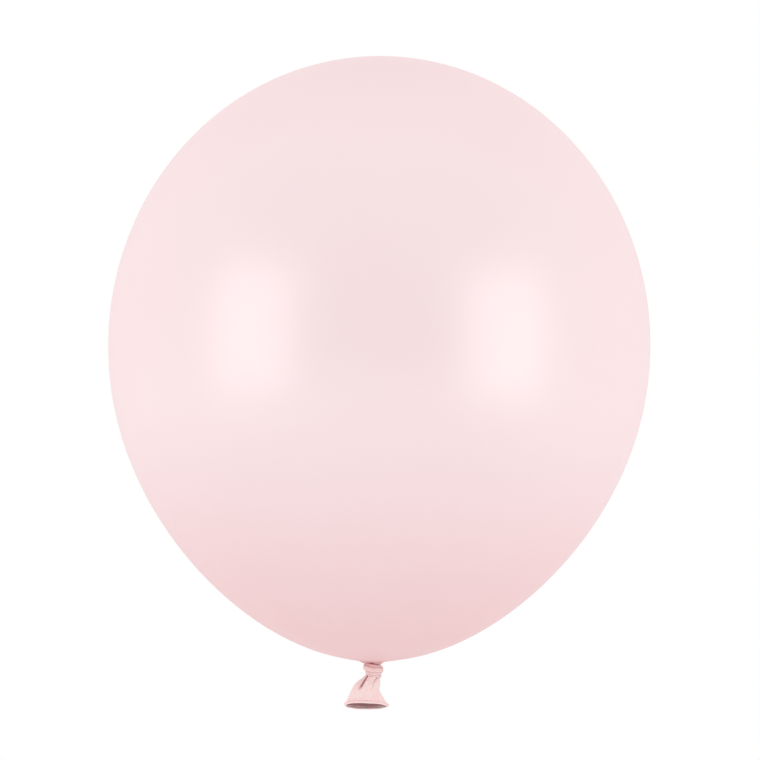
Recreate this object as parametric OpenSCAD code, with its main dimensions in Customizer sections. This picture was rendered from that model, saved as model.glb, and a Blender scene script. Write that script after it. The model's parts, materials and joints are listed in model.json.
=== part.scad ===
// Round latex party balloon, inflated and tied with an overhand knot.
// The origin is where the skin meets the gathered neck, and +Z runs up the balloon to its crown.

/* [Envelope] */
// Width of the inflated envelope at its widest
envelope_w = 300; // [150:1:450]
// Height of the crown above the widest level
crown_h = 160; // [80:1:240]
// Height of the widest level above the neck
belly_h = 175; // [90:1:260]
// Share of the radius that the lower half draws in by as it nears the neck
belly_taper = 0.12; // [0:0.01:0.2]
// Wall of the envelope
envelope_wall = 0.4; // [0.3:0.05:0.8]

/* [Neck] */
// Radius of the patch of pleated skin round the neck
gather_r = 14; // [9:0.5:24]
// Wall of the pleated skin beside the neck
gather_wall = 0.9; // [0.6:0.05:1.6]
// Radius of the gathered strand between the skin and the knot
strand_r = 2.4; // [2:0.1:3.4]

/* [Knot] */
// Width of the knot across its loop
knot_w = 11.6; // [9.6:0.1:16]
// Diameter of the strand that makes the loop
loop_d = 5.2; // [4.2:0.1:6.4]
// Diameter of the strand tucked under the loop
tuck_d = 3.4; // [2.8:0.1:4.2]

/* [Tail] */
// Length of the tail from the knot to its lip
tail_len = 15.6; // [12:0.2:26]
// Wall of the tail
tail_wall = 0.4; // [0.3:0.05:0.6]
// Radius of the strand that leaves the knot for the tail
throat_r = 2.1; // [1.7:0.1:2.4]
// Width of the mouth across its lip
mouth_w = 24.5; // [20:0.5:34]
// Depth of the squashed mouth across its lip
mouth_d = 15.5; // [13:0.5:22]
// Thickness of the rolled lip
lip_d = 1.5; // [1.1:0.1:2.2]
// Distance that the tail leans to one side at its lip
tail_shift = 2.8; // [0:0.2:5]
// Tilt of the tail forwards, in degrees
tail_tilt = 19; // [0:1:22]
// Number of pleats where the tail is gathered
pleats = 7; // [5:1:11]

/* [Fits] */
// Gap between pieces that move on each other
clearance = 0.3; // [0.2:0.05:0.4]

/* [Hidden] */
$fn = 120;

skin = [0.97, 0.85, 0.86];
thick_skin = [0.93, 0.76, 0.77];
fold_skin = [0.88, 0.68, 0.69];

// The envelope's outline is two half ovals that meet at its widest level.
envelope_r = envelope_w / 2;
taper_power = 2.2;
neck_share = 1 - belly_taper;
outline_steps = 72;
gather_steps = 8;

// The strand turns in the neck, and the knot turns on the strand, about the centre of one ball.
neck_drop = 0.3;
socket_r = strand_r + clearance;
collar_r = socket_r + clearance / 2;
stem_share = 0.8;
stem_top = gather_wall + strand_r / 2;

// The tail turns on the ball of its own strand, just under the knot.
throat_socket = throat_r + clearance;

// The knot is a core with the loop round its middle and the tucked strand round its foot.
// The shares are of the tucked strand's diameter.
socket_rim = 0.3;
knot_gap = 1.6;
tuck_in_share = 0.08;
tuck_gap_share = 0.125;
tuck_foot_share = 0.35;
core_r = max(socket_r, throat_socket) + socket_rim;
core_top = -knot_gap;
loop_ring = (knot_w - loop_d) / 2;
loop_z = core_top - loop_d / 2;
tuck_ring = core_r - tuck_in_share * tuck_d;
tuck_z = loop_z - loop_d / 2 - tuck_gap_share * tuck_d;
core_foot = tuck_z - tuck_foot_share * tuck_d;
throat_z = core_foot - socket_rim - 2 * clearance;

// The tail starts round its strand, swells over a shoulder and flares at its lip.
lip_r = lip_d / 2;
lip_z = -tail_len;
lip_grip_share = 0.5;
skirt_end = lip_z + lip_grip_share * lip_r;
skirt_start_share = 0.7;
skirt_start = -skirt_start_share * throat_r;
skirt_slack = 0.1;
skirt_top_r = throat_r + tail_wall + skirt_slack;
shoulder_power = 0.45;
flare_power = 4;
flare_share = 0.19;
pleat_depth = 0.07;
shift_power = 3;
skirt_rows = 12;
skirt_sides = pleats * 6;
lip_sides = 10;

// A point of the envelope's outline at angle a, from -90 at the neck to 90 at the crown.
function draw_in(a) = a < 0 ? 1 - belly_taper * pow(-sin(a), taper_power) : 1;
function envelope_point(a, inset) = [
    (envelope_r - inset) * cos(a) * draw_in(a),
    belly_h + ((a < 0 ? belly_h : crown_h) - inset) * sin(a)
];
function angle_at(r) = -acos(r / (envelope_r * neck_share));
function envelope_line(from, to, inset, steps) = [
    for (i = [0:steps]) envelope_point(from + (to - from) * i / steps, inset)
];

// The half width of the tail at share t of its length, for a mouth of half width wide.
function tail_half(t, wide) = skirt_top_r
    + (wide - skirt_top_r) * ((1 - flare_share) * pow(t, shoulder_power) + flare_share * pow(t, flare_power));
function pleat(t, a) = 1 + pleat_depth * pow(1 - t, 2) * cos(pleats * a);
function shift_at(t) = -tail_shift * (1 - pow(1 - t, shift_power));

// A ring of points round the tail at share t, drawn in by inset.
function skirt_ring(t, inset) = [
    for (i = [0:skirt_sides - 1])
        let (a = 360 * i / skirt_sides)
        [
            shift_at(t) + (tail_half(t, mouth_w / 2 - lip_r) * pleat(t, a) - inset) * cos(a),
            (tail_half(t, mouth_d / 2 - lip_r) * pleat(t, a) - inset) * sin(a),
            skirt_start + (skirt_end - skirt_start) * t
        ]
];

// A ring of points round the lip's own thickness, at angle a of the mouth.
function lip_ring(a) =
    let (wide = mouth_w / 2 - lip_r, deep = mouth_d / 2 - lip_r)
    let (out = [cos(a) / wide, sin(a) / deep], size = norm(out))
    [
        for (j = [0:lip_sides - 1])
            let (b = 360 * j / lip_sides)
            [
                shift_at(1) + wide * cos(a) + lip_r * cos(b) * out[0] / size,
                deep * sin(a) + lip_r * cos(b) * out[1] / size,
                lip_z + lip_r * sin(b)
            ]
    ];

// The two triangles of each square cell between closed rings of n points.
function cell(a, b, c, d) = [[a, b, c], [a, c, d]];
function band(row, next, n) = [
    for (i = [0:n - 1])
        for (t = cell(row * n + i, row * n + (i + 1) % n, next * n + (i + 1) % n, next * n + i)) t
];

// A closed body from a loop of rings, the last of which joins the first.
module ring_body(rings) {
    n = len(rings[0]);
    polyhedron(
        points = [for (r = rings) for (p = r) p],
        faces = [for (k = [0:len(rings) - 1]) for (f = band(k, (k + 1) % len(rings), n)) f],
        convexity = 6
    );
}

// The half section of a round strand bent into a ring, outside the knot's core.
module strand_section(ring, z, tube) {
    intersection() {
        translate([ring, z])
            circle(d = tube);
        translate([core_r, z - tube])
            square([ring + tube, 2 * tube]);
    }
}

// The tail's own frame: its strand's centre is the origin, and the tail hangs below it.
module in_tail() {
    translate([0, 0, throat_z])
        rotate([-tail_tilt, 0, 0])
            children();
}

// The thin stretched skin, open where the gathered patch starts.
module envelope() {
    start = angle_at(gather_r);
    color(skin)
        rotate_extrude()
            polygon(concat(
                envelope_line(start, 90, 0, outline_steps),
                envelope_line(90, start, envelope_wall, outline_steps)
            ));
}

// The patch of thicker, pleated skin that carries on from the envelope to the neck.
module neck_gather() {
    rim = angle_at(gather_r - clearance);
    hole = angle_at(collar_r);
    color(thick_skin)
        rotate_extrude()
            polygon(concat(
                envelope_line(hole, rim, 0, gather_steps),
                [envelope_point(rim, envelope_wall), envelope_point(hole, gather_wall)]
            ));
}

// The strand that the neck is gathered into, a ball at the skin with a stem inside.
module neck_strand() {
    color(thick_skin)
        union() {
            translate([0, 0, -neck_drop])
                sphere(r = strand_r);
            cylinder(r = strand_r * stem_share, h = stem_top);
        }
}

// The strand inside the knot, hollowed at both ends for the balls it turns on.
module knot_core() {
    color(fold_skin)
        difference() {
            translate([0, 0, core_foot])
                cylinder(r = core_r, h = core_top - core_foot);
            translate([0, 0, -neck_drop])
                sphere(r = socket_r);
            translate([0, 0, throat_z])
                sphere(r = throat_socket);
        }
}

// The turn of the strand round its own core.
module knot_loop() {
    color(skin)
        rotate_extrude()
            strand_section(loop_ring, loop_z, loop_d);
}

// The end of the strand tucked back under the turn.
module knot_tuck() {
    color(thick_skin)
        rotate_extrude()
            difference() {
                strand_section(tuck_ring, tuck_z, tuck_d);
                strand_section(loop_ring, loop_z, loop_d);
            }
}

// The gathered strand that leaves the knot for the tail.
module tail_throat() {
    color(fold_skin)
        translate([0, 0, throat_z])
            sphere(r = throat_r);
}

// The pleated tail, open at its mouth.
module tail_skirt() {
    outside = [for (i = [0:skirt_rows]) skirt_ring(i / skirt_rows, 0)];
    inside = [for (i = [skirt_rows:-1:0]) skirt_ring(i / skirt_rows, tail_wall)];
    color(skin)
        in_tail()
            ring_body(concat(outside, inside));
}

// The rolled bead round the tail's mouth.
module rolled_lip() {
    color(thick_skin)
        in_tail()
            ring_body([for (i = [0:skirt_sides - 1]) lip_ring(360 * i / skirt_sides)]);
}

envelope();
neck_gather();
neck_strand();
knot_core();
knot_loop();
knot_tuck();
tail_throat();
tail_skirt();
rolled_lip();
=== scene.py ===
import json
import math

import bmesh
import bpy
import numpy as np
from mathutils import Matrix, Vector


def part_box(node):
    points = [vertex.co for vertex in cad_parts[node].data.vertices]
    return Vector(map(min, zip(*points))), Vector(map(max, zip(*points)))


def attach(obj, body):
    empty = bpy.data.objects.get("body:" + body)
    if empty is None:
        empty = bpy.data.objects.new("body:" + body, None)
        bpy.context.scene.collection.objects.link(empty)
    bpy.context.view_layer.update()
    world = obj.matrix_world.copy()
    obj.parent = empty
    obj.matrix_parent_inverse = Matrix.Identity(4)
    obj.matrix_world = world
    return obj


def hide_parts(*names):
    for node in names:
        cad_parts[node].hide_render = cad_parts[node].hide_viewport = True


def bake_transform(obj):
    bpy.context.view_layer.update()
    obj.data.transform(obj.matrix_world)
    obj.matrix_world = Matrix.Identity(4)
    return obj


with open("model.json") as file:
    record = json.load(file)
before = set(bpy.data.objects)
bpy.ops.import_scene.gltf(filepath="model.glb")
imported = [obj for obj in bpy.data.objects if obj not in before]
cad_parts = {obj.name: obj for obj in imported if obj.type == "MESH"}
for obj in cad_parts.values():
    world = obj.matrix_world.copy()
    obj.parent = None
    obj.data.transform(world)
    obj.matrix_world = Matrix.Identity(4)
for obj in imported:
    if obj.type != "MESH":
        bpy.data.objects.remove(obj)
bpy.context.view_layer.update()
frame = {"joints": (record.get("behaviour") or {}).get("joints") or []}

# Shapes are worked out in millimetres and made in metres.
MM = 0.001


# ---------------------------------------------------------------- numbers

# How sharp the valleys between ridges are, and how far they lie below the level of no change.
RIDGE_SHARP, RIDGE_DROP = 0.8, 0.64


def smooth(x, low, high):
    """0 below low, 1 above high, and smooth in between."""
    t = np.clip((np.asarray(x, float) - low) / (high - low), 0, 1)
    return t * t * (3 - 2 * t)


def bump(x, centre, width):
    """1 at the centre, falling off smoothly over the width on each side."""
    return np.exp(-(((np.asarray(x, float) - centre) / width) ** 2))


def turn(angle):
    """An angle brought to -pi..pi."""
    return (np.asarray(angle, float) + math.pi) % (2 * math.pi) - math.pi


def around(count):
    """Angles evenly spaced round a full turn."""
    return np.linspace(0, 2 * math.pi, count, endpoint=False)


def through(xs, ys, x):
    """A smooth curve through the points xs, ys, read at x."""
    slope = np.gradient(ys, xs)
    i = np.clip(np.searchsorted(xs, x) - 1, 0, len(xs) - 2)
    h = xs[i + 1] - xs[i]
    t = np.clip((x - xs[i]) / h, 0, 1)
    return (
        (2 * t**3 - 3 * t**2 + 1) * ys[i] + (t**3 - 2 * t**2 + t) * h * slope[i]
        + (3 * t**2 - 2 * t**3) * ys[i + 1] + (t**3 - t**2) * h * slope[i + 1]
    )


def ridges(u):
    """Round ridges with sharp valleys between them, one ridge for each 2 pi of u."""
    return np.abs(np.cos(u / 2)) ** RIDGE_SHARP - RIDGE_DROP


def unit(vectors):
    """Vectors brought to length 1."""
    return vectors / np.linalg.norm(vectors, axis=-1)[..., None]


def segment_distance(x, z, a, b):
    """How far points are from the line from a to b, on which side, and how far along it they are."""
    dx, dz = b[0] - a[0], b[1] - a[1]
    length = math.hypot(dx, dz)
    along = ((x - a[0]) * dx + (z - a[1]) * dz) / length**2
    side = ((x - a[0]) * dz - (z - a[1]) * dx) / length
    near = np.clip(along, 0, 1)
    off = np.hypot(x - a[0] - near * dx, z - a[1] - near * dz)
    return off, side, along


# ---------------------------------------------------------------- meshes

def rings_to_faces(rows, cols):
    """The faces between closed rings of vertices, ring after ring."""
    r = np.arange(rows - 1)[:, None] * cols
    c = np.arange(cols)[None, :]
    n = (c + 1) % cols
    return np.stack([r + c, r + cols + c, r + cols + n, r + n], -1).reshape(-1, 4).tolist()


def ring_piece(name, rings, fields, looped=False):
    """A piece from rings of points in millimetres, shaped (rows, cols, 3).

    Each end is closed with a point, or the last ring joins the first. The fields are numbers on the
    points for the material to read.
    """
    rows, cols = rings.shape[:2]
    points = rings.reshape(-1, 3)
    faces = rings_to_faces(rows, cols)
    values = {k: np.broadcast_to(v, (rows, cols)).reshape(-1).astype(float) for k, v in fields.items()}
    last = (rows - 1) * cols
    if looped:
        faces += [[last + i, i, (i + 1) % cols, last + (i + 1) % cols] for i in range(cols)]
    else:
        top, end = len(points), len(points) + 1
        points = np.vstack([points, rings[0].mean(0), rings[-1].mean(0)])
        values = {k: np.concatenate([v, [v[:cols].mean(), v[-cols:].mean()]]) for k, v in values.items()}
        faces += [[top, i, (i + 1) % cols] for i in range(cols)]
        faces += [[end, last + (i + 1) % cols, last + i] for i in range(cols)]
    mesh = bpy.data.meshes.new(name)
    mesh.from_pydata((points * MM).tolist(), [], faces)
    shape = bmesh.new()
    shape.from_mesh(mesh)
    bmesh.ops.recalc_face_normals(shape, faces=shape.faces)
    shape.to_mesh(mesh)
    shape.free()
    mesh.polygons.foreach_set("use_smooth", [True] * len(mesh.polygons))
    for key, v in values.items():
        attribute = mesh.attributes.new(key, "FLOAT", "POINT")
        attribute.data.foreach_set("value", v.astype(np.float32))
    rest = mesh.attributes.new("rest", "FLOAT_VECTOR", "POINT")
    rest.data.foreach_set("vector", (points * MM).astype(np.float32).ravel())
    mesh.update()
    piece = bpy.data.objects.new(name, mesh)
    bpy.context.scene.collection.objects.link(piece)
    return piece


# ---------------------------------------------------------------- sizes from the CAD

joints = {joint["name"]: joint for joint in frame["joints"]}
skin_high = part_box("envelope")[1]
loop_low, loop_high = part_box("knot_loop")
lip_low, lip_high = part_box("rolled_lip")
knot_half = (loop_high.x - loop_low.x) / 2 / MM

# The tail hangs from the joint under the knot, tilted forwards to its lip.
tail_at = np.array(joints["tail_nod"]["pos_m"]) / MM
tail_hang = tail_at - np.array((lip_low + lip_high) / 2) / MM
tail_tilt = math.atan2(tail_hang[1], tail_hang[2])
tail_length = math.hypot(tail_hang[1], tail_hang[2])

# ---------------------------------------------------------------- the skin

# The widest level's share of the crown's height, and how the lower half draws in, are the CAD's own.
CROWN = skin_high.z / MM
WIDE = skin_high.x / MM
BELLY = 0.5224 * CROWN
TAPER, TAPER_POWER = 0.12, 2.2

# The skin's rings run from just off the crown to its edge at the neck, closer together inside FINE_R.
SKIN_SIDES, SKIN_ROWS, FINE_ROWS = 288, 130, 72
CROWN_GAP, FINE_R, NECK_EDGE, FINE_POWER = 0.012, 34, 2.9, 1.25

# Creases and lobes start at the first of these angles below the widest level, and are full at the second.
FOLDS_FROM, FOLDS_FULL = 0.9, 1.2

# Creases of many lengths run out from the neck and widen on their way, most of them short. Each range is
# a least value and what chance adds to it.
CREASES, CREASE_START, CREASE_SHORT = 34, 2.5, 2.2
CREASE_LENGTH, CREASE_WIDTH, CREASE_DEPTH = (7, 19), (0.3, 0.4), (0.24, 0.36)
CREASE_SPREAD, CREASE_BEND, CREASE_STRAY = 0.055, 0.35, 0.7

# Lobes of gathered skin hang over the knot, the biggest at the front right: the angle, the spread in
# radians, the drop and the distance from the axis. All the skin sags a little between them.
LOBES = ((-0.45, 0.62, 1.35, 4.3), (-2.9, 0.6, 0.85, 5.4), (1.1, 0.7, 0.9, 4.3), (2.3, 0.5, 0.5, 4.3))
LOBE_REACH = 1.7
SAG_DROP, SAG_R, SAG_REACH = 0.35, 3.0, 1.6

# The pink is deeper from this height down, partly thicker, less stretched latex and partly painted shade of
# the underside; more so within this radius of the neck, where the latex is thicker; and a little at the
# crown, partly thicker latex and partly painted shade of the top.
THICK_AND_SHADE_FROM, THICK_AND_SHADE_FULL, THICK_AND_SHADE_BY_HEIGHT = 150, -4, 0.72
THICK_R, THICK_FULL_R, THICK_BY_RADIUS = 40, 3, 0.28
CROWN_FROM, CROWN_FULL = BELLY + 70, CROWN + 14

# Out of sight round the neck, the skin turns in at these shares of its edge's radius, dips and closes.
TURN_SHARES, TURN_RISE, TURN_DIP, CLOSE_SHARE, CLOSE_Z = (0.96, 0.9, 0.8), 0.1, 1.6, 0.5, 0.6


def skin_outline(a):
    """Radius and height of the skin at angle a, from -pi/2 at the neck to pi/2 at the crown."""
    s = np.sin(a)
    drawn = np.where(a < 0, 1 - TAPER * np.clip(-s, 0, 1) ** TAPER_POWER, 1)
    return WIDE * np.cos(a) * drawn, BELLY + np.where(a < 0, BELLY, CROWN - BELLY) * s


def skin_angle(radius):
    """The angle near the neck at which the skin's outline has this radius."""
    return -math.acos(radius / (WIDE * (1 - TAPER)))


def make_skin():
    neck, fine = skin_angle(NECK_EDGE), skin_angle(FINE_R)
    a = np.concatenate([
        np.linspace(math.pi / 2 - CROWN_GAP, fine, SKIN_ROWS, endpoint=False),
        neck + (fine - neck) * np.linspace(1, 0, FINE_ROWS) ** FINE_POWER,
    ])
    radius, height = skin_outline(a)
    theta = around(SKIN_SIDES)[None, :]
    r, z = radius[:, None] + 0 * theta, height[:, None] + 0 * theta
    rng = np.random.default_rng(11)
    lift, crease = np.zeros_like(r), np.zeros_like(r)
    near = smooth(-a, FOLDS_FROM, FOLDS_FULL)[:, None]
    for i in range(CREASES):
        at = 2 * math.pi * (i + CREASE_STRAY * rng.random()) / CREASES
        reach = CREASE_LENGTH[0] + CREASE_LENGTH[1] * rng.random() ** CREASE_SHORT
        bend = CREASE_BEND * (rng.random() - 0.5)
        wide = CREASE_WIDTH[0] + CREASE_WIDTH[1] * rng.random()
        deep = CREASE_DEPTH[0] + CREASE_DEPTH[1] * rng.random()
        off = turn(theta - at - bend * smooth(r, 3, 26)) * r
        line = bump(off / (wide + CREASE_SPREAD * r), 0, 1) * smooth(-r, -reach, -CREASE_START)
        lift -= deep * line
        # The crease mask paints shade into the deeper creases round the neck.
        crease += 0.9 * line * smooth(deep, 0.12, 0.4)
    for at, spread, drop, out in LOBES:
        lift -= drop * bump(turn(theta - at), 0, spread) * bump(r, out, LOBE_REACH)
    lift -= SAG_DROP * bump(r, SAG_R, SAG_REACH)
    z = z + lift * near
    x, y = r * np.cos(theta), r * np.sin(theta)
    inner = [
        np.stack([x[-1] * share, y[-1] * share, z[-1] - TURN_DIP * (1 - share) + TURN_RISE], -1)
        for share in TURN_SHARES
    ]
    inner.append(np.stack([x[-1] * CLOSE_SHARE, y[-1] * CLOSE_SHARE, z[-1] * 0 + CLOSE_Z], -1))
    rings = np.concatenate([np.stack([x, y, z], -1), np.array(inner)])
    hidden = np.zeros((len(inner), SKIN_SIDES))
    # Deeper pink low down: partly thicker latex, partly painted shade of the underside. Near the neck the
    # latex is thicker.
    thick_and_shade = smooth(-z, -THICK_AND_SHADE_FROM, -THICK_AND_SHADE_FULL) * THICK_AND_SHADE_BY_HEIGHT
    thick_and_shade += THICK_BY_RADIUS * smooth(-r, -THICK_R, -THICK_FULL_R) * near
    # The hidden turned-in skin takes full painted crease shade and the full deeper colour.
    return ring_piece("balloon_skin", rings, {
        "fold_and_shade": np.concatenate([np.clip(crease, 0, 1) * near, hidden + 1]),
        "thick_and_shade": np.concatenate([thick_and_shade, hidden + 1]),
        "crown": np.concatenate([smooth(z, CROWN_FROM, CROWN_FULL), hidden]),
    })


# ---------------------------------------------------------------- the knot

COLUMN_SIDES, STRAND_SIDES = 96, 96

# The bunched neck and the knot's core: their folds, how deep those are, and their radius and heights.
NECK_FOLDS, NECK_DEPTH, NECK_R, NECK_TOP, NECK_FOOT, NECK_ROWS = 9, 0.35, 2.25, 1.4, -3.4, 40
CORE_FOLDS, CORE_DEPTH, CORE_R, CORE_TOP, CORE_FOOT, CORE_ROWS = 8, 0.4, 2.75, -1.5, -8.9, 60

# The knot sits a little to the right of the neck, and the tucked strand a little more.
BAND_ASIDE, TUCK_ASIDE = 0.06 * knot_half, 0.1 * knot_half

# A strand's section is a rounded box: at 2 it would be an ellipse. Its ends are rounded over a share of
# its length, which is counted in degrees round the neck, with a little added for each station.
BOXINESS, TIP_SHARE, STATION_GAP = 2.4, 0.04, 8

# Stations of the band that goes round the knot, and of the strand tucked under it: the angle in degrees
# round the neck, the distance from the axis, the height, and the half thickness outwards and upwards.
BAND = (
    (112, 0.9, -1.9, 1.2, 1.1),
    (72, 2.0, -2.7, 1.7, 1.6),
    (34, 2.9, -4.0, 2.1, 2.1),
    (0, 3.35, -4.65, 2.35, 2.4),
    (-45, 3.15, -4.5, 2.4, 2.5),
    (-90, 3.05, -4.15, 2.4, 2.5),
    (-135, 3.1, -3.7, 2.4, 2.5),
    (-180, 3.2, -3.5, 2.4, 2.45),
    (-225, 3.1, -4.0, 2.3, 2.3),
    (-270, 3.1, -5.0, 2.2, 2.2),
    (-312, 2.7, -5.8, 1.9, 1.8),
    (-352, 1.5, -5.8, 1.4, 1.3),
)
TUCK = (
    (-212, 1.3, -6.4, 1.0, 0.9),
    (-172, 2.9, -6.75, 1.5, 1.35),
    (-130, 2.9, -6.95, 1.5, 1.3),
    (-90, 2.85, -7.2, 1.4, 1.25),
    (-50, 2.85, -7.5, 1.4, 1.3),
    (-15, 3.0, -8.0, 1.5, 1.45),
    (15, 2.9, -8.2, 1.5, 1.5),
    (50, 2.5, -7.9, 1.4, 1.4),
    (90, 2.0, -7.5, 1.3, 1.2),
    (128, 0.9, -7.2, 1.0, 0.9),
)


def column(name, z, theta, radius, aside, fields):
    """A bunched column of latex down the neck's axis."""
    rings = np.stack([aside + radius * np.cos(theta), radius * np.sin(theta), z + 0 * theta], -1)
    return ring_piece(name, rings, fields)


def make_neck():
    z = np.linspace(NECK_TOP, NECK_FOOT, NECK_ROWS)[:, None]
    theta = around(COLUMN_SIDES)[None, :]
    fold_and_shade = ridges(NECK_FOLDS * theta + 1.2 * np.sin(theta + 0.7) + 0.8 * z)
    radius = NECK_R + 0.5 * smooth(z, -0.6, 0.8) + NECK_DEPTH * fold_and_shade - 0.5 * smooth(-z, 2, -NECK_FOOT)
    # Painted shade all over the neck, darkest in the valleys between its folds.
    shade = 0.65 + 0.35 * smooth(-fold_and_shade, 0, 0.6)
    return column("neck_folds", z, theta, radius, 0, {"fold_and_shade": shade, "thick_and_shade": 1.0})


def make_core():
    z = np.linspace(CORE_TOP, CORE_FOOT, CORE_ROWS)[:, None]
    theta = around(COLUMN_SIDES)[None, :]
    fold_and_shade = ridges(CORE_FOLDS * theta + 1.6 * np.sin(theta - 0.3) + 0.35 * z)
    radius = CORE_R - 0.5 * bump(z, CORE_TOP, 0.6) - 0.7 * bump(z, CORE_FOOT, 0.8) + CORE_DEPTH * fold_and_shade
    # Painted shade over the core, darkest in the valleys between its folds.
    shade = 0.4 + 0.6 * smooth(-fold_and_shade, 0, 0.6)
    return column("knot_core_folds", z, theta, radius, BAND_ASIDE * 0.5, {"fold_and_shade": shade, "thick_and_shade": 0.9})


def make_strand(name, stations, aside, folds, depth, twist, steps):
    """A bunched, creased strand of latex through its stations round the neck."""
    stations = np.array(stations, float)
    lengths = np.concatenate([[0], np.cumsum(np.abs(np.diff(stations[:, 0])) + STATION_GAP)])
    at = np.linspace(0, lengths[-1], steps)
    angle, radius, height, out, up = (through(lengths, stations[:, k], at) for k in range(5))
    a = np.radians(angle)
    path = np.stack([aside + radius * np.cos(a), radius * np.sin(a), height], -1)
    ahead = unit(np.gradient(path, axis=0))
    outward = np.stack([np.cos(a), np.sin(a), 0 * a], -1)
    outward = unit(outward - (outward * ahead).sum(1)[:, None] * ahead)
    upward = np.cross(ahead, outward)
    upward *= np.sign(upward[:, 2:3] + 1e-9)
    share = at / lengths[-1]
    to_end = np.minimum(share, 1 - share)
    rounded = np.sqrt(np.clip(1 - (1 - to_end / TIP_SHARE) ** 2, 0, 1))
    taper = np.where(to_end < TIP_SHARE, np.minimum(1, rounded + 0.02), 1)
    phi = around(STRAND_SIDES)[None, :]
    s = share[:, None]
    # The creases run along the strand, wander and are deeper in some places than in others.
    wander = 0.35 * np.sin(5 * s + 1.7) + 0.16 * np.sin(17 * s + phi) + 0.22 * np.sin(2 * phi + 3 * s + 0.6)
    crease = ridges(folds * (phi + twist * s) + 2.2 * wander)
    fine = 0.125 * ridges(3 * folds * phi + 9 * wander + 2.0)
    pinch = 1 + 0.175 * np.sin(9 * s + 2 * phi)
    grown = 1 + depth * pinch * (crease + fine)
    c, n = np.cos(phi), np.sin(phi)
    box = (np.abs(c) ** BOXINESS + np.abs(n) ** BOXINESS) ** (-1 / BOXINESS)
    reach = box * grown * taper[:, None]
    rings = (
        path[:, None, :]
        + (out[:, None] * reach * c)[..., None] * outward[:, None, :]
        + (up[:, None] * reach * n)[..., None] * upward[:, None, :]
    )
    # Painted shade in the valleys between the strand's creases.
    return ring_piece(name, rings, {"fold_and_shade": smooth(-crease, 0.1, 0.6), "thick_and_shade": 0.5})


# ---------------------------------------------------------------- the tail

# Share of the tail's length, then its left edge, right edge and half depth there.
TAIL = np.array([
    (-0.02, -4.6, 4.1, 2.7),
    (0.107, -7.1, 4.2, 3.2),
    (0.202, -8.8, 4.55, 3.7),
    (0.297, -10.0, 4.45, 4.1),
    (0.392, -10.95, 4.1, 4.5),
    (0.487, -11.7, 4.35, 4.85),
    (0.582, -12.3, 5.2, 5.2),
    (0.677, -12.9, 6.1, 5.55),
    (0.772, -13.5, 6.95, 5.9),
    (0.867, -14.15, 7.8, 6.3),
    (0.93, -14.5, 8.3, 6.6),
    (1.0, -14.8, 8.8, 7.05),
])

# The skirt stops inside the bead, and its inner wall runs back up to INNER_TOP. Both walls end in a dome.
TAIL_SIDES, TAIL_ROWS, INNER_ROWS = 300, 130, 90
SKIRT_END, INNER_TOP, TAIL_WALL = 0.975, 0.13, 0.45
DOME_RINGS, DOME_HEIGHT, CLOSE_RINGS, CLOSE_HEIGHT = 16, 1.7, 8, 1.2

# Pleats run down from the knot and fade out towards the lip, shallower in front. Between them are soft
# swells and small pleats, and just above the bead the skirt swells a little.
PLEATS, PLEAT_DEPTH, PLEAT_FRONT, PLEAT_FADE = 9, 0.62, 0.36, 1.6
SWELLS, SWELL_DEPTH, SMALL_PLEATS, SMALL_DEPTH = 5, 0.175, 23, 0.16
RIM_SWELL, RIM_AT, RIM_REACH = 0.12, 0.93, 0.03

# The deep crease on the front left, from a point to a point across and down, with its width, how much it
# widens on its way, and its depth. Beside it stands a fold.
DEEP_FROM, DEEP_TO, DEEP_WIDTH, DEEP_SPREAD, DEEP_DROP = (-2.4, 0.9), (-7.2, -7.8), 0.38, 0.6, 1.15
FOLD_RISE, FOLD_ASIDE, FOLD_REACH = 0.5, 1.15, 0.85

# The forked crease on the front right and two on the back, with their width and depth.
FORK = (((3.0, -0.6), (-0.3, -4.5), 0.34, 0.52), ((0.0, -4.0), (1.1, -6.3), 0.36, 0.3))
BACK = (((0.8, 0.6), (3.4, -6.5), 0.42, 0.9), ((-2.6, 0.4), (-5.6, -4.6), 0.34, 0.6))

# The bead's radius, and the share that its two lines cut into it.
LIP_STEPS, LIP_SIDES, BEAD, BEAD_CUT = 320, 40, 0.75, 0.13


def tail_edges(t):
    """The tail's left edge, right edge and half depth at share t of its length."""
    return (through(TAIL[:, 0], TAIL[:, k], t) for k in (1, 2, 3))


def from_tail(points):
    """Points from the tail's own frame, which hangs from the throat, to the shared frame."""
    x, y, z = points[..., 0], points[..., 1], points[..., 2]
    c, s = math.cos(tail_tilt), math.sin(tail_tilt)
    return np.stack([x + tail_at[0], y * c + z * s + tail_at[1], -y * s + z * c + tail_at[2]], -1)


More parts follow.
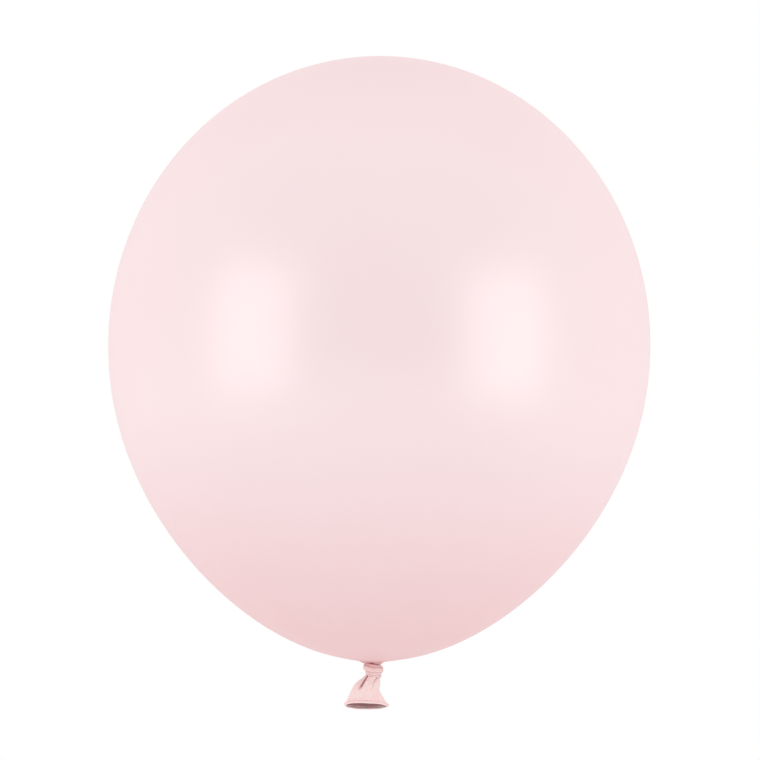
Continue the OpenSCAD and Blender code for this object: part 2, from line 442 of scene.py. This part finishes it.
def tail_surface(t, a, inset):
    """Points of the tail at share t of its length and angle a, and how much painted shade their creases
    get.
    """
    left, right, deep = tail_edges(t)
    mid, wide = (left + right) / 2, (right - left) / 2
    c, s = np.cos(a), np.sin(a)
    x, y, z = mid + wide * c, deep * s, -tail_length * t
    normal = unit(np.stack([c / wide, s / deep], -1))
    front, back = smooth(-s, 0.0, 0.5), smooth(s, 0.0, 0.5)
    fade = np.clip(1 - t, 0, 1)
    warped = a + 0.22 * np.sin(2 * a + 1.3) + 0.14 * np.sin(3 * a + 0.4) + 0.5 * t * np.sin(a + 2)
    pleat, small = ridges(PLEATS * warped), ridges(SMALL_PLEATS * warped + 3 * t)
    swell = np.cos(SWELLS * warped + 2.0)
    amount = (PLEAT_DEPTH - PLEAT_FRONT * front) * fade**PLEAT_FADE
    push = amount * pleat + SWELL_DEPTH * fade * swell * t**0.5 + SMALL_DEPTH * fade**3 * small
    # Painted shade goes into the pleats' valleys, the deep crease, the forked crease and the creases on the
    # back.
    fold_and_shade = smooth(-pleat, 0.15, 0.62) * smooth(amount, 0.05, 0.4) * 0.8
    off, side, along = segment_distance(x, z, DEEP_FROM, DEEP_TO)
    run = smooth(along, -0.3, 0.1) * smooth(-along, -1.12, -0.72) * front
    valley = bump(off / (DEEP_WIDTH + DEEP_SPREAD * np.clip(along, 0, 1)), 0, 1) * run
    over = bump(side, -FOLD_ASIDE, FOLD_REACH) * run * smooth(-along, -1.0, -0.3)
    push += FOLD_RISE * over - DEEP_DROP * valley
    fold_and_shade = np.maximum(fold_and_shade, valley)
    bent = x - 0.35 * np.sin(1.3 * z + 0.4)
    for start, end, width, drop in FORK:
        off, side, along = segment_distance(bent, z, start, end)
        line = bump(off / (width * (1.15 - 0.5 * np.clip(along, 0, 1))), 0, 1)
        line = line * smooth(along, -0.5, 0.3) * smooth(-along, -1.35, -0.55) * front
        push -= drop * line
        fold_and_shade = np.maximum(fold_and_shade, drop * line)
    for start, end, width, drop in BACK:
        off, side, along = segment_distance(x, z, start, end)
        line = bump(off / (width + 0.2 * np.clip(along, 0, 1)), 0, 1)
        line = line * smooth(along, -0.3, 0.1) * smooth(-along, -1.15, -0.7) * back
        push -= drop * line
        fold_and_shade = np.maximum(fold_and_shade, line)
    push += RIM_SWELL * bump(t, RIM_AT, RIM_REACH) - inset
    points = np.stack([x + push * normal[..., 0], y + push * normal[..., 1], z + 0 * push], -1)
    return points, fold_and_shade


def make_tail():
    a = around(TAIL_SIDES)[None, :]
    t = np.linspace(0, SKIRT_END, TAIL_ROWS)[:, None] + 0 * a
    outer, fold_and_shade = tail_surface(t, a + 0 * t, 0)
    inner_t = np.linspace(SKIRT_END, INNER_TOP, INNER_ROWS)[:, None] + 0 * a
    inner, inner_fold = tail_surface(inner_t, a + 0 * inner_t, TAIL_WALL)
    # The outer wall's dome is hidden in the knot, and the inner wall's is deep in the mouth.
    dome, close = [], []
    for k in np.radians(np.linspace(88, 6, DOME_RINGS)):
        ring = outer[0] * [math.cos(k), math.cos(k), 0]
        ring[:, 2] = DOME_HEIGHT * math.sin(k)
        dome.append(ring)
    last, mid = inner[-1], inner[-1].mean(0)
    for k in np.radians(np.linspace(12, 86, CLOSE_RINGS)):
        ring = mid + (last - mid) * math.cos(k)
        ring[:, 2] = last[:, 2] + CLOSE_HEIGHT * math.sin(k)
        close.append(ring)
    rings = from_tail(np.concatenate([np.array(dome), outer, inner, np.array(close)]))
    outer_rings, inner_rings = DOME_RINGS + TAIL_ROWS, INNER_ROWS + CLOSE_RINGS
    # Painted shade on the tail's inner wall, fading in just inside the mouth.
    inside = np.concatenate([np.zeros((outer_rings, TAIL_SIDES)), np.ones((inner_rings, TAIL_SIDES))])
    inside[outer_rings:outer_rings + 6] *= np.linspace(0.3, 1, 6)[:, None]
    return ring_piece("tail_folds", rings, {
        "fold_and_shade": np.concatenate([
            np.tile(fold_and_shade[0], (DOME_RINGS, 1)), fold_and_shade,
            inner_fold * 0.5, np.tile(inner_fold[-1], (CLOSE_RINGS, 1)),
        ]),
        "inside": inside,
        "thick_and_shade": np.concatenate([
            np.full((DOME_RINGS, TAIL_SIDES), 0.8), 0.8 - 0.5 * t / SKIRT_END,
            np.full((inner_rings, TAIL_SIDES), 0.6),
        ]),
    })


def make_lip():
    a = around(LIP_STEPS)
    left, right, deep = TAIL[-1, 1:]
    mid, wide = (left + right) / 2, (right - left) / 2
    wobble = 0.10 * np.sin(3 * a + 0.5) + 0.07 * np.sin(7 * a + 1.1)
    x, y = mid + (wide + wobble) * np.cos(a), (deep + wobble) * np.sin(a)
    z = -tail_length + 0.12 * np.sin(2 * a + 0.7) + 0.05 * np.sin(5 * a)
    centre = np.stack([x, y, z], -1)
    ahead = unit(np.roll(centre, -1, 0) - np.roll(centre, 1, 0))
    out = unit(np.cross(ahead, [0, 0, 1.0]))
    up = np.cross(out, ahead)
    b = around(LIP_SIDES)[None, :]
    s = a[:, None]
    # Two thin lines run round the bead, where the latex was rolled up.
    roll = bump(turn(b - 2.2), 0, 0.16) + 0.6 * bump(turn(b + 1.9 - 0.25 * np.sin(2 * s)), 0, 0.12)
    size = BEAD * (1 + 0.05 * np.sin(4 * s + 2) + 0.03 * np.sin(11 * s + b)) * (1 - BEAD_CUT * roll)
    rings = (
        centre[:, None, :] + (size * np.cos(b))[..., None] * out[:, None, :]
        + (size * np.sin(b))[..., None] * up[:, None, :]
    )
    # Painted shade in the two lines and on the bead's inner side, which faces into the mouth.
    fields = {"fold_and_shade": np.clip(roll, 0, 1), "thick_and_shade": 0.3, "inside": smooth(-np.cos(b + 0.35), -0.25, 0.75)}
    return ring_piece("lip_bead", from_tail(rings), fields, looped=True)


skin = make_skin()
neck = make_neck()
core = make_core()
band = make_strand("knot_band", BAND, BAND_ASIDE, folds=5, depth=0.09, twist=0.55, steps=220)
tuck = make_strand("knot_tuck_folds", TUCK, TUCK_ASIDE, folds=5, depth=0.14, twist=-1.1, steps=180)
tail = make_tail()
lip = make_lip()


# ---------------------------------------------------------------- materials

def colour(*screen):
    """A linear colour from 0..255 screen values."""
    shares = [value / 255 for value in screen]
    return (*(s / 12.92 if s <= 0.04045 else ((s + 0.055) / 1.055) ** 2.4 for s in shares), 1.0)


# The skin is pale and a little mottled, pinker at the crown and deeper low down and near the neck: thicker
# latex, and at the crown and low down partly painted shade. Its creases are darkened with painted shade.
SKIN_A, SKIN_B = colour(243, 221, 223), colour(242, 218, 220)
SKIN_MOTTLE, SKIN_SPECK = colour(242, 214, 217), colour(250, 236, 236)
SKIN_CROWN_AND_SHADE, SKIN_CREASE_SHADE = colour(248, 218, 220), colour(214, 160, 160)
SKIN_THICK_AND_SHADE, SKIN_THICK_AND_SHADE_B = colour(233, 187, 188), colour(231, 180, 182)
SKIN_IOR, SMALL_IOR = 1.95, 1.52


class Nodes:
    """A node tree, built node by node."""

    def __init__(self, tree):
        self.tree = tree

    def add(self, kind, **values):
        """A new node with its settings."""
        node = self.tree.nodes.new(kind)
        for key, value in values.items():
            setattr(node, key, value)
        return node

    def link(self, a, b):
        self.tree.links.new(a, b)

    def fill(self, sockets, values):
        """Sets each socket to its number or colour, or links it."""
        for socket, value in zip(sockets, values):
            if isinstance(value, (tuple, int, float)):
                socket.default_value = value
            else:
                self.link(value, socket)

    def span(self, value, low, high, to_low, to_high):
        """The value, spread from low..high to to_low..to_high."""
        node = self.add("ShaderNodeMapRange")
        names = ("Value", "From Min", "From Max", "To Min", "To Max")
        self.fill([node.inputs[name] for name in names], (value, low, high, to_low, to_high))
        return node.outputs["Result"]

    def maths(self, operation, a, b):
        node = self.add("ShaderNodeMath", operation=operation)
        self.fill(node.inputs, (a, b))
        return node.outputs["Value"]


class Latex(Nodes):
    """A latex material."""

    def __init__(self, name):
        self.material = bpy.data.materials.new(name)
        self.material.use_nodes = True
        super().__init__(self.material.node_tree)
        self.tree.nodes.clear()
        out = self.add("ShaderNodeOutputMaterial")
        self.shader = self.add("ShaderNodeBsdfPrincipled")
        self.link(self.shader.outputs["BSDF"], out.inputs["Surface"])
        self.place = self.add("ShaderNodeAttribute", attribute_name="rest").outputs["Vector"]

    def field(self, name):
        """A number that the piece carries on its points."""
        return self.add("ShaderNodeAttribute", attribute_name=name).outputs["Fac"]

    def noise(self, scale, detail, rough, stretch=None):
        """Noise that stays with the latex as it moves. The scale is per metre."""
        place = self.place
        if stretch:
            mapping = self.add("ShaderNodeMapping")
            mapping.inputs["Scale"].default_value = stretch
            self.link(place, mapping.inputs["Vector"])
            place = mapping.outputs["Vector"]
        node = self.add("ShaderNodeTexNoise")
        names = ("Vector", "Scale", "Detail", "Roughness")
        self.fill([node.inputs[name] for name in names], (place, scale, detail, rough))
        return node.outputs["Fac"]

    def mix(self, share, a, b):
        """Colour a, mixed with a share of colour b."""
        node = self.add("ShaderNodeMix", data_type="RGBA")
        self.fill((node.inputs[0], node.inputs[6], node.inputs[7]), (share, a, b))
        return node.outputs[2]

    def bumps(self, *layers):
        """Bump nodes one after another, each (height, distance, strength)."""
        before = None
        for height, distance, strength in layers:
            node = self.add("ShaderNodeBump")
            names = ("Height", "Distance", "Strength")
            self.fill([node.inputs[name] for name in names], (height, distance, strength))
            if before:
                self.link(before, node.inputs["Normal"])
            before = node.outputs["Normal"]
        self.link(before, self.shader.inputs["Normal"])

    def finish(self, base, rough, coat, coat_rough, ior, under=0.0, reach=(0.002, 0.001, 0.001)):
        """Sets the shader. Light spreads under the surface by the share under, as far as reach."""
        put = self.shader.inputs
        self.link(base, put["Base Color"])
        self.link(rough, put["Roughness"])
        put["Coat Weight"].default_value = coat
        put["Coat Roughness"].default_value = coat_rough
        put["IOR"].default_value = ior
        put["Subsurface Weight"].default_value = under
        put["Subsurface Radius"].default_value = reach
        put["Subsurface Scale"].default_value = 1.0
        return self.material


def skin_latex():
    m = Latex("latex_skin")
    mottle = m.noise(14, 4, 0.55)
    cloud = m.noise(4.5, 2, 0.5)
    streak = m.noise(60, 3, 0.5, stretch=(1.0, 1.0, 0.18))
    grain = m.noise(900, 2, 0.6)
    specks = m.noise(420, 1, 0.5)
    pale = m.mix(m.span(cloud, 0.3, 0.7, 0, 1), SKIN_A, SKIN_B)
    pale = m.mix(m.span(mottle, 0.25, 0.75, 0, 0.2), pale, SKIN_MOTTLE)
    pale = m.mix(m.span(specks, 0.6, 0.85, 0, 0.06), pale, SKIN_SPECK)
    # Pinker towards the crown: partly thicker latex, partly painted shade of the top.
    pale = m.mix(m.maths("MULTIPLY", m.field("crown"), 0.75), pale, SKIN_CROWN_AND_SHADE)
    deep = m.mix(m.span(streak, 0.35, 0.7, 0, 0.5), SKIN_THICK_AND_SHADE, SKIN_THICK_AND_SHADE_B)
    # Deeper pink low down and near the neck: thicker latex, and low down partly painted shade of the
    # underside.
    base = m.mix(m.field("thick_and_shade"), pale, deep)
    # Painted shade in the skin's creases round the neck.
    base = m.mix(m.maths("MULTIPLY", m.field("fold_and_shade"), 0.75), base, SKIN_CREASE_SHADE)
    m.bumps((grain, 0.00002, 0.2), (mottle, 0.0003, 0.03))
    # The gloss is softer where the skin turns away.
    edge = m.add("ShaderNodeLayerWeight")
    edge.inputs["Blend"].default_value = 0.5
    gloss = m.span(edge.outputs["Facing"], 0.2, 0.7, 0.33, 0.88)
    rough = m.maths("ADD", gloss, m.span(mottle, 0.25, 0.75, 0, 0.04))
    return m.finish(base, rough, coat=0.12, coat_rough=0.2, ior=SKIN_IOR)


def small_latex(name, light, deep, crease_shade, rough=(0.38, 0.5), coat=0.2, lines=True, inner=None):
    """The unstretched latex of the neck, knot, tail and lip, in screen colours, with painted shade in its
    creases and wrinkles.
    """
    light, deep, crease_shade = colour(*light), colour(*deep), colour(*crease_shade)
    m = Latex(name)
    blotch = m.noise(420, 4, 0.55)
    grain = m.noise(3800, 2, 0.6)
    wrinkle = m.noise(1500, 4, 0.6, stretch=(1.0, 1.0, 0.35))
    base = m.mix(m.span(blotch, 0.35, 0.7, 0, 1), light, deep)
    # A little painted shade in the fine wrinkles.
    base = m.mix(m.span(wrinkle, 0.55, 0.8, 0, 0.10), base, crease_shade)
    # Deeper where the latex is thicker; on the neck and core this is partly painted shade.
    base = m.mix(m.maths("MULTIPLY", m.field("thick_and_shade"), 0.3), base, deep)
    # Painted shade in the creases.
    base = m.mix(m.maths("POWER", m.field("fold_and_shade"), 1.3), base, crease_shade)
    # Painted shade on the inside, where a colour for it is given.
    if inner:
        base = m.mix(m.field("inside"), base, colour(*inner))
    layers = [(grain, 0.00002, 0.4)]
    if lines:
        layers.append((wrinkle, 0.00012, 0.5))
    m.bumps(*layers)
    return m.finish(base, m.span(blotch, 0.3, 0.7, *rough), coat=coat, coat_rough=0.25, ior=SMALL_IOR,
                    under=0.25, reach=(0.0012, 0.0006, 0.0006))


knot_latex = small_latex("latex_knot", (246, 218, 216), (240, 206, 204), (192, 142, 138))
for piece, material in (
    (skin, skin_latex()),
    # The neck and core have darker colours than the knot: painted shade, as they lie in the crease under
    # the skin and inside the knot.
    (neck, small_latex("latex_neck_in_shade", (214, 160, 156), (196, 138, 134), (96, 52, 46))),
    (core, small_latex("latex_core_in_shade", (226, 180, 176), (210, 158, 154), (120, 70, 66))),
    (band, knot_latex),
    (tuck, knot_latex),
    # The tail's colours are paler than the knot's: painted light for the light it lacks under the balloon.
    # Its inner colour is painted shade.
    (tail, small_latex("latex_tail", (254, 235, 232), (251, 227, 224), (166, 112, 112),
                       inner=(160, 108, 110))),
    # The lip's inner colour is painted shade on the side of the bead that faces into the mouth.
    (lip, small_latex("latex_lip", (247, 220, 218), (240, 208, 207), (186, 140, 141), rough=(0.2, 0.3),
                      coat=0.6, lines=False, inner=(204, 172, 172))),
):
    piece.data.materials.append(material)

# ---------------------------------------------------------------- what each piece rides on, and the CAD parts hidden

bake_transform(skin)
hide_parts("envelope", "neck_gather")
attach(neck, "neck")
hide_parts("neck_strand")
for piece, node in ((core, "knot_core"), (band, "knot_loop"), (tuck, "knot_tuck")):
    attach(piece, "knot")
    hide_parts(node)
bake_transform(tail)
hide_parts("tail_throat", "tail_skirt")
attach(lip, "tail")
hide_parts("rolled_lip")

# ---------------------------------------------------------------- floor, light and camera

FLOOR_Z, FLOOR_R, FLOOR_SIDES, FLOOR_RINGS = -1.1, 10.0, 96, 24
FLOOR_GRAIN, FLOOR_DARK, FLOOR_PALE, FLOOR_ROUGH, FLOOR_GLOW = 40, 0.86, 0.9, 0.9, 0.1

# The surroundings' light: on the camera's side, behind the balloon, and what is added straight above.
WORLD_FRONT, WORLD_BACK, WORLD_TOP = 0.41, 0.8, 0.52

# The softboxes' angles in degrees, distance and size in metres, and radiance.
LAMP_AZIMUTH, LAMP_ELEVATION, LAMP_DISTANCE = 53, 5, 1.3
LAMP_WIDTH, LAMP_HEIGHT, LAMP_RADIANCE = 0.86, 0.92, 1.68

# The camera is in front, rolled a little in degrees, and sees this width in metres at the balloon.
CAMERA_X, CAMERA_Z, CAMERA_DISTANCE, CAMERA_ROLL = 0.0008, 0.1558, 2.2, -1.2
VIEW_WIDTH, SENSOR_WIDTH, CLIP_NEAR, CLIP_FAR = 0.4214, 36, 0.1, 40

scene = bpy.context.scene
scene.view_settings.view_transform = "Standard"


def make_floor():
    """A round pale floor, far below and clear from underneath."""
    radii = np.linspace(0.02, 1, FLOOR_RINGS) ** 1.5 * FLOOR_R
    points = [(r * math.cos(a), r * math.sin(a), FLOOR_Z) for r in radii for a in around(FLOOR_SIDES)]
    mesh = bpy.data.meshes.new("floor")
    mesh.from_pydata(points, [], rings_to_faces(FLOOR_RINGS, FLOOR_SIDES) + [list(range(FLOOR_SIDES))])
    floor = bpy.data.objects.new("floor", mesh)
    scene.collection.objects.link(floor)
    material = bpy.data.materials.new("floor")
    material.use_nodes = True
    n = Nodes(material.node_tree)
    shader = n.tree.nodes["Principled BSDF"]
    grain = n.add("ShaderNodeTexNoise")
    grain.inputs["Scale"].default_value = FLOOR_GRAIN
    n.link(n.span(grain.outputs["Fac"], 0, 1, FLOOR_DARK, FLOOR_PALE), shader.inputs["Base Color"])
    shader.inputs["Roughness"].default_value = FLOOR_ROUGH
    shader.inputs["Emission Color"].default_value = (1, 1, 1, 1)
    shader.inputs["Emission Strength"].default_value = FLOOR_GLOW
    either = n.add("ShaderNodeMixShader")
    n.link(n.add("ShaderNodeNewGeometry").outputs["Backfacing"], either.inputs[0])
    n.link(shader.outputs["BSDF"], either.inputs[1])
    n.link(n.add("ShaderNodeBsdfTransparent").outputs["BSDF"], either.inputs[2])
    n.link(either.outputs["Shader"], n.tree.nodes["Material Output"].inputs["Surface"])
    mesh.materials.append(material)


def make_world():
    """Plain white to the camera, and soft light that is stronger from behind and above."""
    world = bpy.data.worlds.new("studio")
    scene.world = world
    world.use_nodes = True
    n = Nodes(world.node_tree)
    split = n.add("ShaderNodeSeparateXYZ")
    n.link(n.add("ShaderNodeTexCoord").outputs["Generated"], split.inputs["Vector"])
    behind = n.span(split.outputs["Y"], -1, 1, WORLD_FRONT, WORLD_BACK)
    above = n.span(split.outputs["Z"], 0, 1, 0, WORLD_TOP)
    seen = n.add("ShaderNodeLightPath").outputs["Is Camera Ray"]
    pick = n.add("ShaderNodeMix", data_type="FLOAT")
    light = n.maths("ADD", behind, above)
    n.fill((pick.inputs[0], pick.inputs[2], pick.inputs[3]), (seen, light, 1.0))
    background = n.tree.nodes["Background"]
    background.inputs["Color"].default_value = (1, 1, 1, 1)
    n.link(pick.outputs[0], background.inputs["Strength"])


def make_softbox(name, azimuth):
    """A soft rectangular lamp that looks at the balloon's middle. Azimuth 0 is the camera's side."""
    lamp = bpy.data.lights.new(name, "AREA")
    lamp.shape = "RECTANGLE"
    lamp.size, lamp.size_y = LAMP_WIDTH, LAMP_HEIGHT
    lamp.energy = LAMP_RADIANCE * LAMP_WIDTH * LAMP_HEIGHT * math.pi
    softbox = bpy.data.objects.new(name, lamp)
    a, e = math.radians(azimuth), math.radians(LAMP_ELEVATION)
    away = Vector((math.sin(a) * math.cos(e), -math.cos(a) * math.cos(e), math.sin(e)))
    softbox.location = Vector((0, 0, BELLY * MM)) + away * LAMP_DISTANCE
    softbox.rotation_mode = "QUATERNION"
    softbox.rotation_quaternion = away.to_track_quat("Z", "Y")
    softbox.visible_camera = False
    scene.collection.objects.link(softbox)


def make_camera():
    data = bpy.data.cameras.new("camera")
    data.sensor_width = SENSOR_WIDTH
    data.lens = SENSOR_WIDTH * CAMERA_DISTANCE / VIEW_WIDTH
    data.clip_start, data.clip_end = CLIP_NEAR, CLIP_FAR
    camera = bpy.data.objects.new("camera", data)
    camera.location = (CAMERA_X, -CAMERA_DISTANCE, CAMERA_Z)
    camera.rotation_euler = (math.pi / 2, math.radians(CAMERA_ROLL), 0)
    scene.collection.objects.link(camera)
    scene.camera = camera


make_floor()
make_world()
make_softbox("softbox_left", -LAMP_AZIMUTH)
make_softbox("softbox_right", LAMP_AZIMUTH)
make_camera()
